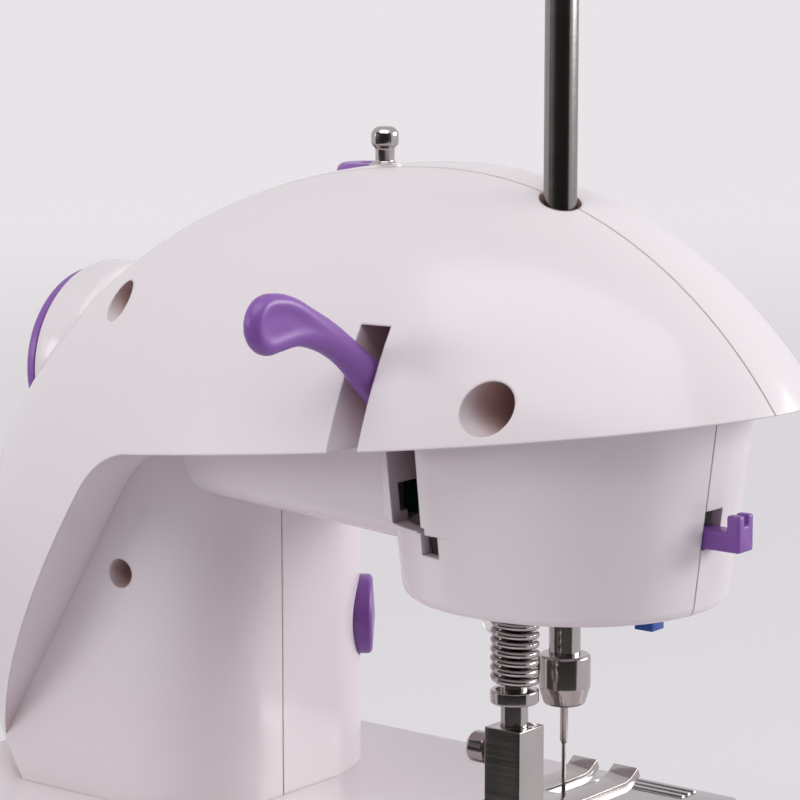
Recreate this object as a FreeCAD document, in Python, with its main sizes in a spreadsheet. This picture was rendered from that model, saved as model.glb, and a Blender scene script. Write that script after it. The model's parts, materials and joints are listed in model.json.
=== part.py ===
import FreeCAD, Part
import Sketcher

import math
import os
import re

from FreeCAD import Placement, Rotation, Vector

# A compact sewing machine, in millimetres: +X runs along the arm towards the handwheel,
# -Y faces the person sewing and Z = 0 is the table. Half of it is an egg shaped hood.
DIMENSIONS = {
    # Moulded shells
    "wall": 2.4,
    "dome_x": -25.1,
    "dome_y": -1.1,
    "dome_z": 88,
    "dome_nose": 99.6,
    "dome_tail": 131.4,
    "dome_side": 61,
    "dome_rise": 104.4,
    "seam_y": 6,
    "hood_end_z": 152.1,
    "hood_end_x": -140,
    "arch_x": 34,
    "arch_z": 131.1,
    "arch_round": 20,
    "arch_foot_x": 90.2,
    "arch_foot_z": 40,
    "bucket_near_x": -56,
    "bucket_far_x": -50,
    "bucket_lower_x": -53,
    "ledge_z": 121.6,
    "bucket_y": 2,
    "bucket_low": 32,
    "bucket_high": 37.2,
    "bucket_top_z": 148,
    "rim_z": 105.6,
    "rim_round": 2.4,
    "belly_back": 26,
    "belly_front": -34,
    "belly_z": 115.9,
    "belly_flare": 8,
    "belly_climb": 0.06,
    "column_x": 18.5,
    "column_back": 33,
    "column_front": -41,
    "column_back_round": 24,
    "column_front_round": 30,
    # Base
    "bed_z": 50,
    "base_length": 213,
    "base_depth": 120,
    "base_top_length": 206,
    "base_top_depth": 114,
    "base_corner": 38,
    "base_edge": 4,
    "cover_z": 3,
    "cover_thick": 2,
    "foot_radius": 7,
    "foot_x": 84,
    "foot_y": 42,
    "plate_x0": -63.8,
    "plate_x1": -21,
    "plate_y1": 6,
    "plate_split": -19.6,
    "plate_z": 48.9,
    # Sewing head
    "needle_x": -43.4,
    "needle_y": -14,
    "needle_bar_radius": 3.4,
    "needle_bar_low_z": 79,
    "needle_bar_top_z": 172,
    "needle_clamp_z": 88,
    "needle_tip_z": 52,
    "stroke": 20,
    "yoke_z": 142,
    "presser_y": 4.2,
    "presser_radius": 2.9,
    "presser_sole_z": 56,
    "presser_top_z": 172,
    "spring_low_z": 84,
    "spring_radius": 4.35,
    "spring_wire": 1.6,
    "spring_turns": 10,
    "lifter_y": 16,
    "lifter_z": 138,
    "slot_x": -39,
    "slot_width": 6.9,
    "slot_low_z": 122,
    "slot_top_z": 163.4,
    "slot_lid_z": 139.5,
    "window_x0": -42.6,
    "window_x1": -33.2,
    "notch_x0": -46.8,
    "notch_z": 117,
    "takeup_y": -28,
    "takeup_z": 152,
    # Drive
    "shaft_y": -14,
    "shaft_z": 139,
    "shaft_radius": 4,
    "wheel_radius": 24.5,
    "wheel_x": 77.5,
    "wheel_width": 14,
    "gear_x": 41,
    "gear_width": 5.5,
    "gear_module": 0.8,
    "gear_teeth": 40,
    "pinion_teeth": 12,
    "motor_radius": 12,
    "motor_length": 23,
    "belt_x": 31,
    "belt_width": 6,
    "belt_thick": 1.6,
    "pulley_radius": 5.5,
    "hook_y": -28.5,
    "lower_z": 22,
    "hook_radius": 13.1,
    "bevel_module": 0.8,
    "bevel_teeth": 24,
    "hook_teeth": 12,
    "running_gap": 0.05,
    # Thread path and controls
    "spool_x": -55.2,
    "spool_y": 6,
    "spool_radius": 3.4,
    "spool_low_z": 164,
    "spool_top_z": 230,
    "rod_radius": 2.3,
    "rod_top_z": 256,
    "post_x": 2.1,
    "post_y": -10,
    "post_seat_z": 188.4,
    "dial_x": 11.9,
    "dial_y": -16,
    "dial_radius": 7,
    "dial_z": 180.6,
    "dial_top_z": 189.8,
    "button_radius": 9.2,
    "button_z": 84,
    "button_turn": 38,
    "button_gap": 0.35,
    "speed_x": 41,
    "speed_z": 100,
    "speed_radius": 6,
    "lamp_x": -33.9,
    "lamp_y": -3.4,
    "guide_x": -66,
    "guide_y": -12,
    "takeup_x": -49,
    "frame_top_z": 164,
}

doc = FreeCAD.newDocument("sewing_machine")
dims = doc.addObject("Spreadsheet::Sheet", "dims")
for row, (alias, amount) in enumerate(DIMENSIONS.items(), 1):
    dims.set(f"A{row}", alias)
    dims.set(f"B{row}", str(amount))
    dims.setAlias(f"B{row}", alias)
doc.recompute()

TURNS = {
    "z": Rotation(),
    "x": Rotation(Vector(0, 1, 0), 90),
    "y": Rotation(Vector(1, 0, 0), -90),
}
SKETCH_TURNS = {
    "xy": Rotation(),
    "xz": Rotation(Vector(1, 0, 0), 90),
    "yz": Rotation(Vector(1, 1, 1), 120),
}
PLANE_ROLES = {"xy": "XY_Plane", "xz": "XZ_Plane", "yz": "YZ_Plane"}
ROUND = 360
pieces = []


def bound(expression):
    """The expression with each dimension's name read from the sheet."""
    def cell(match):
        word = match.group(0)
        return f"dims.{word}" if word in DIMENSIONS else word
    return re.sub(r"[a-z][a-z_0-9]*", cell, str(expression))


def amount_of(expression):
    """The expression's number, read from the sheet."""
    return float(dims.evalExpression(bound(expression)))


def bind(thing, **sizes):
    """Ties each property of the thing to the sheet."""
    for prop, expression in sizes.items():
        thing.setExpression(prop.replace("__", "."), bound(expression))
    return thing


def place(thing, x, y, z, turn=Rotation()):
    """Turns the thing and binds where its own origin stands."""
    thing.Placement = Placement(Vector(), turn)
    return bind(thing, Placement__Base__x=x, Placement__Base__y=y, Placement__Base__z=z)


def new(kind, **sizes):
    """A document object of that kind, bound to the sheet."""
    return bind(doc.addObject(kind, kind.split("::")[1]), **sizes)


def rod(radius, length, x, y, z, axis="z"):
    """A round bar that starts at the point and runs along the axis."""
    return place(new("Part::Cylinder", Radius=radius, Height=length), x, y, z, TURNS[axis])


def block(x0, x1, y0, y1, z0, z1):
    """A box from its low corner to its high one."""
    box = new("Part::Box", Length=f"({x1}) - ({x0})", Width=f"({y1}) - ({y0})", Height=f"({z1}) - ({z0})")
    return place(box, x0, y0, z0)


def union(*things):
    """The things as one solid."""
    joined = new("Part::MultiFuse")
    joined.Shapes = list(things)
    joined.Refine = True
    return joined


def minus(base, *tools):
    """The base with the tools cut out of it."""
    left = new("Part::Cut")
    left.Base = base
    left.Tool = tools[0] if len(tools) == 1 else union(*tools)
    left.Refine = True
    return left


def shared(*things):
    """Only what all the things hold."""
    common = new("Part::MultiCommon")
    common.Shapes = list(things)
    return common


def group(*things):
    """Separate solids that share one node."""
    together = new("Part::Compound")
    together.Links = list(things)
    return together


def piece(label, thing):
    """Names the thing as a sub-part of the machine."""
    thing.Label = label
    pieces.append(thing)
    return thing


def pin_point(sketch, geometry, spot, u, v):
    """Binds one point of a sketch to the sheet."""
    for kind, expression in (("DistanceX", u), ("DistanceY", v)):
        at = sketch.addConstraint(Sketcher.Constraint(kind, -1, 1, geometry, spot, amount_of(expression)))
        sketch.setExpression(f"Constraints[{at}]", bound(expression))


def draw_outline(sketch, corners):
    """A closed outline through the corners; a third value rounds a corner to that radius."""
    points = [Vector(amount_of(c[0]), amount_of(c[1]), 0) for c in corners]
    cuts = []
    for i, corner in enumerate(corners):
        back = (points[i - 1] - points[i]).normalize()
        ahead = (points[(i + 1) % len(points)] - points[i]).normalize()
        radius = amount_of(corner[2]) if len(corner) > 2 else 0
        reach = radius / math.tan(back.getAngle(ahead) / 2) if radius else 0
        cuts.append((points[i] + back * reach, points[i] + ahead * reach, back, ahead, radius))
    lines = []
    for i in range(len(points)):
        line = Part.LineSegment(cuts[i][1], cuts[(i + 1) % len(points)][0])
        lines.append(sketch.addGeometry(line))
    for i, corner in enumerate(corners):
        before, after = lines[i - 1], lines[i]
        start, end, back, ahead, radius = cuts[i]
        if not radius:
            sketch.addConstraint(Sketcher.Constraint("Coincident", before, 2, after, 1))
            pin_point(sketch, after, 1, corner[0], corner[1])
            continue
        middle = (back + ahead).normalize()
        centre = points[i] + middle * (radius / math.sin(back.getAngle(ahead) / 2))
        arc = sketch.addGeometry(Part.Arc(start, centre - middle * radius, end))
        mark = sketch.addGeometry(Part.Point(points[i]), True)
        first = 1 if sketch.getPoint(arc, 1).isEqual(start, 1e-6) else 2
        sketch.addConstraint(Sketcher.Constraint("Tangent", before, 2, arc, first))
        sketch.addConstraint(Sketcher.Constraint("Tangent", after, 1, arc, 3 - first))
        at = sketch.addConstraint(Sketcher.Constraint("Radius", arc, radius))
        sketch.setExpression(f"Constraints[{at}]", bound(corner[2]))
        pin_point(sketch, mark, 1, corner[0], corner[1])
        sketch.addConstraint(Sketcher.Constraint("PointOnObject", mark, 1, before))
        sketch.addConstraint(Sketcher.Constraint("PointOnObject", mark, 1, after))


def draw_circle(sketch, u, v, radius):
    """A circle of that radius about the point."""
    circle = sketch.addGeometry(Part.Circle(Vector(amount_of(u), amount_of(v), 0), Vector(0, 0, 1),
                                            amount_of(radius)))
    pin_point(sketch, circle, 3, u, v)
    at = sketch.addConstraint(Sketcher.Constraint("Radius", circle, amount_of(radius)))
    sketch.setExpression(f"Constraints[{at}]", bound(radius))


def draw_slot(sketch, near, far, v, radius):
    """Two half circles about the near and far centres, joined by straight sides."""
    low, high = Vector(amount_of(near), amount_of(v), 0), Vector(amount_of(far), amount_of(v), 0)
    side = Vector(0, amount_of(radius), 0)
    reach = Vector(amount_of(radius), 0, 0)
    near_arc = sketch.addGeometry(Part.Arc(low + side, low - reach, low - side))
    far_arc = sketch.addGeometry(Part.Arc(high - side, high + reach, high + side))
    lower = sketch.addGeometry(Part.LineSegment(low - side, high - side))
    upper = sketch.addGeometry(Part.LineSegment(high + side, low + side))
    for arc, spot, line, end in ((near_arc, 2, lower, 1), (far_arc, 1, lower, 2),
                                 (far_arc, 2, upper, 1), (near_arc, 1, upper, 2)):
        sketch.addConstraint(Sketcher.Constraint("Tangent", arc, spot, line, end))
    pin_point(sketch, near_arc, 3, near, v)
    at = sketch.addConstraint(Sketcher.Constraint("DistanceX", -1, 1, far_arc, 3, amount_of(far)))
    sketch.setExpression(f"Constraints[{at}]", bound(far))
    at = sketch.addConstraint(Sketcher.Constraint("Radius", near_arc, amount_of(radius)))
    sketch.setExpression(f"Constraints[{at}]", bound(radius))


def free_sketch(plane, level, *loops):
    """A sketch on its own, at that level of the plane."""
    sketch = doc.addObject("Sketcher::SketchObject", "Sketch")
    sketch.Placement = Placement(Vector(), SKETCH_TURNS[plane])
    side = {"xy": "z", "xz": "y", "yz": "x"}[plane]
    bind(sketch, **{f"Placement__Base__{side}": level})
    for draw, *values in loops:
        draw(sketch, *values)
    return sketch


def loft(*sketches):
    """A straight sided solid through the sketches."""
    solid = new("Part::Loft")
    solid.Sections = list(sketches)
    solid.Solid = True
    solid.Ruled = True
    return solid


def prism(sketch, direction, length):
    """The sketch swept along a straight direction."""
    solid = new("Part::Extrusion", LengthFwd=length)
    solid.Base = sketch
    solid.DirMode = "Custom"
    solid.Dir = direction
    solid.Solid = True
    return solid


def body_sketch(body, plane, level, *loops):
    """A sketch on one of the body's own planes, moved along that plane's normal."""
    sketch = body.newObject("Sketcher::SketchObject", "Sketch")
    flat = next(f for f in body.Origin.OriginFeatures if f.Role == PLANE_ROLES[plane])
    sketch.AttachmentSupport = (flat, [""])
    sketch.MapMode = "FlatFace"
    bind(sketch, AttachmentOffset__Base__z=level)
    for draw, *values in loops:
        draw(sketch, *values)
    return sketch


def plate(plane, low, high, *loops):
    """A flat piece with the outline and holes of the loops, between two levels of the plane."""
    body = doc.addObject("PartDesign::Body", "Body")
    level = f"-({high})" if plane == "xz" else low
    pad = body.newObject("PartDesign::Pad", "Pad")
    pad.Profile = body_sketch(body, plane, level, *loops)
    bind(pad, Length=f"({high}) - ({low})")
    return body


def turned(corners, x, y, z, turn=Rotation()):
    """A lathe piece: the outline of radii and heights, about an axis through the point."""
    body = doc.addObject("PartDesign::Body", "Body")
    spin = body.newObject("PartDesign::Revolution", "Revolution")
    sketch = body_sketch(body, "xz", "0", (draw_outline, corners))
    spin.Profile = sketch
    spin.ReferenceAxis = (sketch, ["V_Axis"])
    spin.Angle = ROUND
    return place(body, x, y, z, turn)


def rectangle(u0, u1, v0, v1, *rounding):
    """An upright rectangle's four corners."""
    return [(u0, v0, *rounding), (u1, v0, *rounding), (u1, v1, *rounding), (u0, v1, *rounding)]


def screw(radius, x, y, z, turn, shank=6):
    """A pan head screw whose head rests on the point, with its shank behind it."""
    core, rise = f"0.5 * {radius}", f"0.7 * {radius}"
    stem = [("0", "0"), (core, "0"), (core, f"-{shank}"), ("0", f"-{shank}")]
    head = [("0", "0"), (radius, "0"), (radius, rise, core), ("0", rise)]
    return union(turned(head, x, y, z, turn), turned(stem, x, y, z, turn))


def half_egg(tail, inset, low):
    """One end of the egg shaped hood, as far down as the low angle."""
    reach = "dome_tail" if tail else "dome_nose"
    end = new("Part::Ellipsoid", Radius1=f"dome_rise - {inset}", Radius2=f"dome_side - {inset}",
              Radius3=f"{reach} - {inset}", Angle1=low)
    end.Angle2 = 90
    end.Angle3 = 180
    return place(end, "dome_x", "dome_y", "dome_z", Rotation(Vector(0, 0, 1), -90 if tail else 90))


def egg(inset, low):
    """The whole hood before it is cut away over the bed."""
    return union(half_egg(False, inset, low), half_egg(True, inset, low))


def arch(lift):
    """What is cut from under the hood: a sloping lid, a bend and a leg down to the bed."""
    over, up = f"0.6 * {lift}", f"0.935 * {lift}"
    corners = [
        (f"hood_end_x + {over}", f"hood_end_z + {up}"),
        (f"hood_end_x + {over}", "0"),
        (f"arch_foot_x + {over}", "0"),
        (f"arch_foot_x + {over}", f"arch_foot_z + {up}"),
        (f"arch_x + {over}", f"arch_z + {up}", "arch_round"),
    ]
    sketch = free_sketch("xz", "dome_side + 20", (draw_outline, corners))
    return prism(sketch, Vector(0, -1, 0), "2 * dome_side + 40")


def bucket(inset, low, high):
    """The lower head: a tapered oval tub under the hood, drawn in below a ledge beside the lever's slot."""
    ledge = f"(ledge_z + {inset})"
    halves = []
    for far, levels in (("bucket_lower_x", (low, ledge)), ("bucket_far_x", (ledge, high))):
        rings = []
        for level in levels:
            share = f"(({level}) - rim_z) / (bucket_top_z - rim_z)"
            radius = f"bucket_low + (bucket_high - bucket_low) * {share} - {inset}"
            rings.append(free_sketch("xy", level, (draw_slot, "bucket_near_x", far, "bucket_y", radius)))
        halves.append(loft(*rings))
    return union(*halves)


def belly(inset, start, length):
    """The arm's underside, which climbs a little towards the column."""
    corners = [
        (f"belly_back - {inset}", f"belly_z + {inset}", "6"),
        (f"belly_back + belly_flare - {inset}", "bucket_top_z + 2"),
        (f"belly_front - belly_flare + {inset}", "bucket_top_z + 2"),
        (f"belly_front + {inset}", f"belly_z + {inset}", "6"),
    ]
    sketch = free_sketch("yz", start, (draw_outline, corners))
    return prism(sketch, Vector(1, 0, amount_of("belly_climb")), length)


def column(inset, low, high):
    """The column's inner walls, rounder at the front than at the back."""
    corners = [
        (f"column_x + {inset}", f"column_front + {inset}", f"column_front_round - {inset}"),
        ("arch_foot_x", f"column_front + {inset}"),
        ("arch_foot_x", f"column_back - {inset}"),
        (f"column_x + {inset}", f"column_back - {inset}", f"column_back_round - {inset}"),
    ]
    sketch = free_sketch("xy", low, (draw_outline, corners))
    return prism(sketch, Vector(0, 0, 1), f"({high}) - ({low})")


def rim_rounded(tub):
    """The tub with its lower rim rounded."""
    doc.recompute()
    soft = new("Part::Fillet")
    soft.Base = tub
    radius = amount_of("rim_round")
    low = amount_of("rim_z")
    edges = enumerate(tub.Shape.Edges, 1)
    soft.Edges = [(i, radius, radius) for i, e in edges if abs(e.BoundBox.ZMax - low) < 0.01]
    return soft


# Screw bores in the back: place, radius and how deep their floors lie
SCREW_BORES = (("-63.6", "149.7", 5.1, "24"), ("45.4", "160.8", 4.1, "14"), ("41.7", "102", 3.2, "20"))
SEAL = 2.4


def button_turn(angle):
    """Points a lathe piece out of the column's rounded front corner."""
    return Rotation(Vector(0, 0, 1), 180 + angle).multiply(Rotation(Vector(0, 1, 0), 90))


FACING = button_turn(amount_of("button_turn"))


def corner_point(reach):
    """A point on the power button's axis, that far out from the corner's centre line."""
    return (f"column_x + column_front_round - ({reach}) * cos(button_turn)",
            f"column_front + column_front_round - ({reach}) * sin(button_turn)")


def shell_ribs():
    """Inner walls: lever slot cheeks, screw bosses, spool guide, handwheel cup and dial cup."""
    ribs = []
    for start in ("slot_x - wall", "slot_x + slot_width"):
        ribs.append(block(start, f"{start} + wall", "30", "70", "slot_lid_z - 3", "slot_top_z + wall"))
        ribs.append(block(start, f"{start} + wall", "lifter_y - 6", "40", "lifter_z - 8", "lifter_z + 8"))
    ribs.append(block("slot_x - wall", "slot_x + slot_width + wall", "30", "70",
                      "slot_top_z", "slot_top_z + wall"))
    for x, z, radius, floor in SCREW_BORES:
        ribs.append(rod(radius + 1.8, 60, x, f"{floor} - {SEAL}", z, "y"))
    ribs.append(rod("spool_radius + 1.6", 40, "spool_x", "spool_y", "spool_low_z - 4"))
    ribs.append(rod("wheel_radius + 2 + wall", 60, "wheel_x - 2 - wall", "shaft_y", "shaft_z", "x"))
    ribs.append(rod("dial_radius + 0.6 + wall", 30, "dial_x", "dial_y", "dial_z - 0.4 - wall"))
    return ribs


def shell_cuts():
    """Every hole through the two shells."""
    cuts = []
    for x, z, radius, floor in SCREW_BORES:
        cuts.append(rod(radius, 70, x, floor, z, "y"))
        cuts.append(rod(1.7, 10, x, f"{floor} - 5", z, "y"))
    cuts.append(block("slot_x", "slot_x + slot_width", "lifter_y", "90", "slot_low_z", "slot_top_z"))
    cuts.append(block("window_x0", "window_x1", "30", "90", "slot_low_z", "slot_lid_z"))
    cuts.append(block("notch_x0", "window_x0 + 1", "26", "90", "notch_z", "ledge_z"))
    cuts.append(block("window_x0 - 1", "window_x0 + 1", "26", "90", "notch_z + 2", "slot_low_z + 1"))
    cuts.append(rod(2.02, "slot_width + 20", "slot_x - 10", "lifter_y", "lifter_z", "x"))
    cuts.append(rod("spool_radius + running_gap", 80, "spool_x", "spool_y", "spool_low_z - 10"))
    cuts.append(rod("spool_radius + 0.9", 40, "spool_x", "spool_y", "184"))
    cuts.append(rod("wheel_radius + 2", 60, "wheel_x - 2", "shaft_y", "shaft_z", "x"))
    cuts.append(rod("shaft_radius + 0.6", 20, "wheel_x - 12", "shaft_y", "shaft_z", "x"))
    cuts.append(rod("dial_radius + 0.6", 30, "dial_x", "dial_y", "dial_z - 0.4"))
    cuts.append(rod(2.1, 30, "dial_x", "dial_y", "dial_z - 15"))
    cuts.append(rod(1.6, 30, "post_x", "post_y", "176"))
    cuts.append(rod(3.7, 20, "post_x", "post_y", "post_seat_z"))
    cuts.append(rod("needle_bar_radius + 1", 8, "needle_x", "needle_y", "rim_z - 2"))
    cuts.append(rod("presser_radius + 0.6", 8, "needle_x", "presser_y", "rim_z - 2"))
    cuts.append(rod(3.8, 8, "lamp_x", "lamp_y", "rim_z - 2"))
    cuts.append(block("takeup_x - 1.5", "takeup_x + 3.5", "-90", "takeup_y - 2",
                      "takeup_z - 18", "takeup_z + 30"))
    x, y = corner_point("column_front_round - 12")
    button_bore = new("Part::Cylinder", Radius="button_radius + button_gap", Height=20)
    cuts.append(place(button_bore, x, y, "button_z", FACING))
    cuts.append(rod("speed_radius + button_gap", 12, "speed_x", "column_front - 4", "speed_z", "y"))
    cuts.append(block("-100", "-84", "0", "seam_y", "119.6", "127.4"))
    cuts.append(rod(1.2, 8, "guide_x", "guide_y", "rim_z - 2"))
    return cuts


skin = egg("0", "-asin((dome_z - bed_z) / dome_rise)")
hollow = egg("wall", "-30")
tub = rim_rounded(bucket("0", "rim_z", "bucket_top_z"))
outer = union(minus(skin, arch("0")), tub, shared(belly("0", "bucket_far_x + 5", "84"), skin),
              shared(column("0", "bed_z", "arch_z + 5"), skin))
inner = union(minus(hollow, arch("wall")), bucket("wall", "rim_z + 2.6", "bucket_top_z + 4"),
              shared(belly("wall", "bucket_far_x + 2", "92"), hollow),
              shared(column("wall", "bed_z - 8", "arch_z + 9"), hollow))
shell = minus(union(minus(outer, inner), shared(outer, union(*shell_ribs()))), *shell_cuts())
FAR = "150"
piece("rear_shell", shared(shell, block(f"-{FAR}", FAR, "seam_y", FAR, "0", "220")))
piece("front_shell", shared(shell, block(f"-{FAR}", FAR, f"-{FAR}", "seam_y - 0.25", "0", "220")))


def tub_outline(trim, level):
    """The base's rounded outline, from its bottom size up to its top one."""
    share = f"(({level} - cover_z) / (bed_z - cover_z))"
    length = f"0.5 * (base_length + (base_top_length - base_length) * {share}) - ({trim})"
    depth = f"0.5 * (base_depth + (base_top_depth - base_depth) * {share}) - ({trim})"
    return (draw_outline, rectangle(f"-({length})", length, f"-({depth})", depth, f"base_corner - ({trim})"))


def top_rounded(solid):
    """The base with the edge of its bed rounded."""
    doc.recompute()
    soft = new("Part::Fillet")
    soft.Base = solid
    radius = amount_of("base_edge")
    high = amount_of("bed_z")
    edges = enumerate(solid.Shape.Edges, 1)
    soft.Edges = [(i, radius, radius) for i, e in edges if e.BoundBox.ZMin > high - 0.01]
    return soft


POSTS = [(f"{a}70", f"{b}48") for a in ("", "-") for b in ("", "-")]
FEET = [(f"{a}foot_x", f"{b}foot_y") for a in ("", "-") for b in ("", "-")]
LOWER_BEARINGS = ("-14", "14")
LOWER_RADIUS = "3"
JACKS = {"dc_jack": "16", "pedal_jack": "-8"}
JACK_Z = "29"
PLATE_SCREWS = ("plate_x0 + 5", "plate_x1 - 5")
PLATE_SCREW_Y = "plate_y1 - 2.6"


def base_shell():
    """A tub upside down: the bed with its openings, screw posts and shaft hangers."""
    low = "cover_z - 0.5"
    full = top_rounded(loft(free_sketch("xy", low, tub_outline("0", low)),
                            free_sketch("xy", "bed_z", tub_outline("0", "bed_z"))))
    below, under = "cover_z - 4", "bed_z - wall"
    room = loft(free_sketch("xy", below, tub_outline("wall", below)),
                free_sketch("xy", under, tub_outline("wall", under)))
    parts = [minus(full, room)]
    for x, y in POSTS:
        parts.append(rod(4, f"{under} - cover_z - cover_thick + 0.2", x, y, "cover_z + cover_thick"))
    for x in LOWER_BEARINGS:
        parts.append(block(x, f"{x} + 6", "hook_y - 7", "hook_y + 7", "lower_z - 7", f"{under} + 0.2"))
    cuts = [
        block("plate_x0 - 0.2", "plate_x1 + 0.2", "-80", "plate_y1 + 0.2", "plate_z - 0.1", "bed_z + 10"),
        block("plate_x0 + 4", "plate_x1 - 4", "hook_y - 17.5", "plate_y1 - 5", "bed_z - 12", "bed_z + 10"),
        block("belt_x - 0.8", "column_x + 42", "hook_y - 5.3", "column_back - 12",
              "bed_z - 10", "bed_z + 10"),
    ]
    cuts += [rod(1.5, 14, x, y, "cover_z") for x, y in POSTS]
    cuts += [rod(1.3, 10, x, PLATE_SCREW_Y, "bed_z - 6") for x in PLATE_SCREWS]
    cuts += [rod(f"{LOWER_RADIUS} + 1.6", 20, f"{x} - 5", "hook_y", "lower_z", "x") for x in LOWER_BEARINGS]
    cuts += [rod(4.2, 20, "95", y, JACK_Z, "x") for y in JACKS.values()]
    return minus(union(*parts), *cuts)


BAY = ("41", "99", "-30", "30")
DOOR_GRIPS = 5


def base_cover():
    """The bottom plate, with the battery bay standing on it and rails for its door."""
    outline = tub_outline("wall + 0.5", "cover_z")
    floor = prism(free_sketch("xy", "cover_z", outline), Vector(0, 0, 1), "cover_thick")
    x0, x1, y0, y1 = BAY
    case = block(f"{x0} - 1.6", f"{x1} + 1.6", f"{y0} - 1.6", f"{y1} + 1.6", "cover_z", "22.5")
    rails = [block("-20", x1, y, f"{y} + 1.6", "0.8", "cover_z") for y in ("31.4", "-33")]
    return minus(union(floor, case, *rails), block(x0, x1, y0, y1, "0", "21"),
                 *[rod(1.8, 10, x, y, "0") for x, y in POSTS])


def battery_door():
    """A flat door with grip ribs that slides along its rails."""
    x0, x1, y0, y1 = BAY
    door = block(f"{x0} - 1", f"{x1} + 1", f"{y0} - 1", f"{y1} + 1", "1.2", "2.8")
    ribs = [block(f"{x0} + {4 + 3 * i}", f"{x0} + {5.4 + 3 * i}", "-12", "12", "0.7", "1.3")
            for i in range(DOOR_GRIPS)]
    return union(door, *ribs)


FOOT = [("0", "0"), ("foot_radius", "0", "1"), ("foot_radius", "cover_z"), ("0", "cover_z")]
DOWN = Rotation(Vector(1, 0, 0), 180)
BACK = Rotation(Vector(1, 0, 0), -90)
ALONG = TURNS["x"]
piece("base_shell", base_shell())
piece("base_cover", base_cover())
piece("battery_door", battery_door())
piece("rubber_feet", group(*[turned(FOOT, x, y, "0") for x, y in FEET]))
piece("shell_screws", group(*[screw("2.8", x, floor, z, BACK, 4) for x, z, _, floor in SCREW_BORES]))
piece("base_screws", group(*[screw("2.6", x, y, "cover_z", DOWN, 10) for x, y in POSTS]))


def jack(y):
    """A round socket in the base's end wall, with its contact pin."""
    corners = [("1", "0"), ("4", "0"), ("4", "8"), ("5.6", "8"), ("5.6", "9.4", "0.6"), ("2.9", "9.4"),
               ("2.9", "1.5"), ("1", "1.5")]
    return turned(corners, "97", y, JACK_Z, ALONG)


for label, y in JACKS.items():
    piece(label, jack(y))

# The bed's plates, the feed and the hook
FEED_ROWS = ("needle_x - 7.5", "needle_x + 4.5")
FEED_WIDTH = "3"
FEED_TEETH = 8
FEED_PITCH = 1.8


def needle_plate():
    """The steel plate over the feed, with a slot for each row of teeth and the needle's hole."""
    loops = [(draw_outline, rectangle("plate_x0", "plate_x1", "plate_split + 0.2", "plate_y1", "2"))]
    for x in FEED_ROWS:
        slot = rectangle(f"{x} - 0.6", f"{x} + {FEED_WIDTH} + 0.6", "plate_split + 1.2", "0.4")
        loops.append((draw_outline, slot))
    loops.append((draw_circle, "needle_x", "needle_y", "1.1"))
    for x in PLATE_SCREWS:
        loops.append((draw_circle, x, PLATE_SCREW_Y, "1.6"))
    return plate("xy", "plate_z", "plate_z + 1.6", *loops)


def slide_plate():
    """The bobbin's cover, which slides out to the front by its ridged edge."""
    outline = (draw_outline, rectangle("plate_x0", "plate_x1", "-53", "plate_split - 0.2", "2"))
    flat = plate("xy", "plate_z", "plate_z + 1.6", outline)
    ridges = [block("plate_x0 + 10", "plate_x1 - 10", f"{y}", f"{y + 1.2}", "plate_z + 1.4", "plate_z + 2.2")
              for y in (-51, -48.6, -46.2)]
    return union(flat, *ridges)


def feed_dog():
    """Two saw toothed rows on a bar under the plate."""
    low, high = "bed_z - 3", "plate_z + 1.4"
    bar = minus(block("needle_x - 9.5", "needle_x + 9.5", "-17", "12", "bed_z - 3.8", "bed_z - 2.8"),
                block("needle_x - 3", "needle_x + 3", "-18", "-9", "bed_z - 5", "bed_z"))
    rows = []
    for x in FEED_ROWS:
        teeth = []
        for i in range(FEED_TEETH):
            teeth.append((f"{-16.5 + FEED_PITCH * i}", f"{high} - 0.8"))
            teeth.append((f"{-15.1 + FEED_PITCH * i}", high))
        end = f"{-16.5 + FEED_PITCH * FEED_TEETH}"
        outline = [("-16.5", low), *teeth, (end, f"{high} - 0.8"), (end, low)]
        rows.append(plate("yz", x, f"{x} + {FEED_WIDTH}", (draw_outline, outline)))
    return union(bar, *rows)


RACE = [("3.08", "33"), ("15.4", "33"), ("15.4", "bed_z - 4.4"), ("hook_radius + 0.3", "bed_z - 4.4"),
        ("hook_radius + 0.3", "35"), ("3.08", "35")]
HOOK = [("0", "31.9"), ("3", "31.9"), ("3", "35.3"), ("hook_radius", "35.3"), ("hook_radius", "45.1"),
        ("hook_radius - 1.5", "45.1"), ("hook_radius - 1.5", "36.8"), ("0", "36.8")]
BOBBIN = [("3", "37.1"), ("10.4", "37.1"), ("10.4", "38.3"), ("4.5", "38.3"), ("4.5", "43.8"),
          ("10.4", "43.8"), ("10.4", "45"), ("3", "45")]
piece("needle_plate", needle_plate())
piece("slide_plate", slide_plate())
piece("plate_screws", group(*[screw("2.4", x, PLATE_SCREW_Y, "plate_z + 1.6", Rotation(), 3)
                              for x in PLATE_SCREWS]))
piece("feed_dog", feed_dog())
race = turned(RACE, "needle_x", "hook_y", "0")
needle_gap = block("needle_x - 2.5", "needle_x + 2.5", "needle_y - 4", "needle_y + 4", "36", "bed_z")
piece("shuttle_race", minus(race, needle_gap))
hook = turned(HOOK, "needle_x", "hook_y", "0")
hook_throat = block("needle_x + 3", "needle_x + 20", "hook_y - 4", "hook_y + 3", "40", "bed_z")
hook_point = block("needle_x + 3", "needle_x + 20", "hook_y - 9", "hook_y - 3.9", "42.5", "bed_z")
piece("rotary_hook", minus(hook, hook_throat, hook_point))
piece("bobbin", turned(BOBBIN, "needle_x", "hook_y", "0"))


PRESSURE = math.radians(20)
SLACK = 0.3


def involute(angle):
    """How far an involute has unwound at that pressure angle."""
    return math.tan(angle) - angle


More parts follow.
